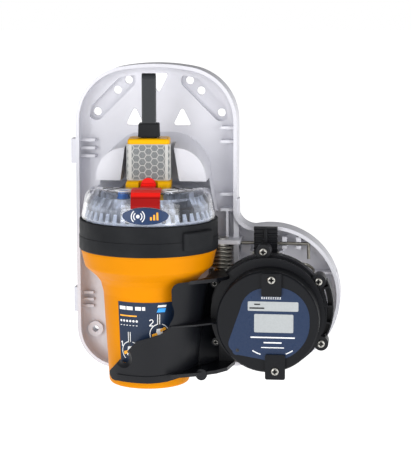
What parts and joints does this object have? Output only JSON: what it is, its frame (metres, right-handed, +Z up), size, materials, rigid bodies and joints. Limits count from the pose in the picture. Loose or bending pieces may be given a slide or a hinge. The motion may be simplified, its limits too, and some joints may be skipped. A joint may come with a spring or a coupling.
{
  "type": "emergency position beacon",
  "caption": "Float-free emergency beacon with clear dome, mast and folding aerial, held in an open wall housing by a spring release arm with a water pressure module.",
  "frame": {"origin": "on the wall plane behind the beacon, level with the top of the beacon's collar and on the beacon's centre line", "axes": "+X to the right seen from the front, +Y back into the wall, +Z up along the beacon; the front faces -Y"},
  "size_m": [0.238, 0.129, 0.2696],
  "materials": {
    "housing_back": "fine satin moulding",
    "spring_pin": "turned",
    "torsion_spring": "drawn wire",
    "latch_pin": "turned",
    "lower_case": "satin",
    "collar_lower": "fine grain",
    "collar_upper": "fine grain",
    "collar_catch": "fine grain",
    "clear_dome": "clear polycarbonate",
    "dome_seal": "matte",
    "lamp_board": "white solder mask",
    "main_board": "green solder mask",
    "board_posts": "turned",
    "reflector": "vacuum coated",
    "lamps": "clear yellow lens",
    "satellite_module": "glazed",
    "light_ring": "clear ribbed",
    "battery_cells": "shrink sleeve",
    "battery_frame": "moulded",
    "mast": "satin",
    "reflective_tape": "cube-corner film",
    "status_window": "clear",
    "badge": "printed film",
    "front_label": "printed film",
    "activation_cover": "satin",
    "on_key": "matte",
    "test_key": "matte",
    "antenna_boot": "matte",
    "antenna_blade": "sleeved spring steel",
    "release_arm": "fine grain",
    "ring_screws": "passivated",
    "box_screws": "passivated",
    "latch_loop": "drawn wire",
    "module_case": "satin",
    "module_base": "satin",
    "module_diaphragm": "fabric reinforced",
    "module_spring": "drawn wire",
    "module_windows": "write-on panels",
    "module_clips": "satin",
    "clip_screws": "passivated",
    "module_label": "printed film",
    "module_piston": "turned",
    "thumb_latch": "fine grain"
  },
  "bodies": {
    "base": {"housing_back": "housing_back", "spring_pin": "spring_pin", "torsion_spring": "torsion_spring", "latch_pin": "latch_pin", "lower_case": "lower_case", "collar_lower": "collar_lower", "collar_upper": "collar_upper", "collar_catch": "collar_catch", "clear_dome": "clear_dome", "dome_seal": "dome_seal", "lamp_board": "lamp_board", "main_board": "main_board", "board_posts": "board_posts", "reflector": "reflector", "lamps": "lamps", "satellite_module": "satellite_module", "light_ring": "light_ring", "battery_cells": "battery_cells", "battery_frame": "battery_frame", "mast": "mast", "reflective_tape": "reflective_tape", "status_window": "status_window", "badge": "badge", "front_label": "front_label"},
    "cover": {"activation_cover": "activation_cover"},
    "on_button": {"on_key": "on_key"},
    "test_button": {"test_key": "test_key"},
    "aerial": {"antenna_boot": "antenna_boot", "antenna_blade": "antenna_blade"},
    "arm": {"release_arm": "release_arm", "ring_screws": "ring_screws", "box_screws": "box_screws", "latch_loop": "latch_loop", "module_case": "module_case", "module_base": "module_base", "module_diaphragm": "module_diaphragm", "module_spring": "module_spring", "module_windows": "module_windows", "module_clips": "module_clips", "clip_screws": "clip_screws", "module_label": "module_label"},
    "trigger": {"module_piston": "module_piston"},
    "latch": {"thumb_latch": "thumb_latch"}
  },
  "joints": [
    {"name": "arm_swing", "type": "hinge", "parent": "base", "child": "arm", "pos_m": [0.057, -0.028, -0.0566], "axis": [0, 0, 1], "range_deg": [0, 10]},
    {"name": "trigger_press", "type": "slide", "parent": "arm", "child": "trigger", "axis": [0, 1, 0], "range_m": [0, 0.002], "stiffness_N_per_m": 600},
    {"name": "latch_rock", "type": "hinge", "parent": "base", "child": "latch", "pos_m": [0.0964, -0.0245, -0.0365], "axis": [1, 0, 0], "range_deg": [0, 8], "stiffness_Nm_per_rad": 0.6},
    {"name": "cover_lift", "type": "slide", "parent": "base", "child": "cover", "axis": [0, 0, 1], "range_m": [0, 0.01]},
    {"name": "on_press", "type": "slide", "parent": "base", "child": "on_button", "axis": [0, 0, -1], "range_m": [0, 0.0015], "stiffness_N_per_m": 500},
    {"name": "test_press", "type": "slide", "parent": "base", "child": "test_button", "axis": [0, 0, -1], "range_m": [0, 0.0015], "stiffness_N_per_m": 500},
    {"name": "aerial_flex", "type": "hinge", "parent": "base", "child": "aerial", "pos_m": [-0.00125, -0.05706, 0.0664], "axis": [0.9954, 0.0958, 0], "range_deg": [-8, 8], "stiffness_Nm_per_rad": 0.5}
  ]
}
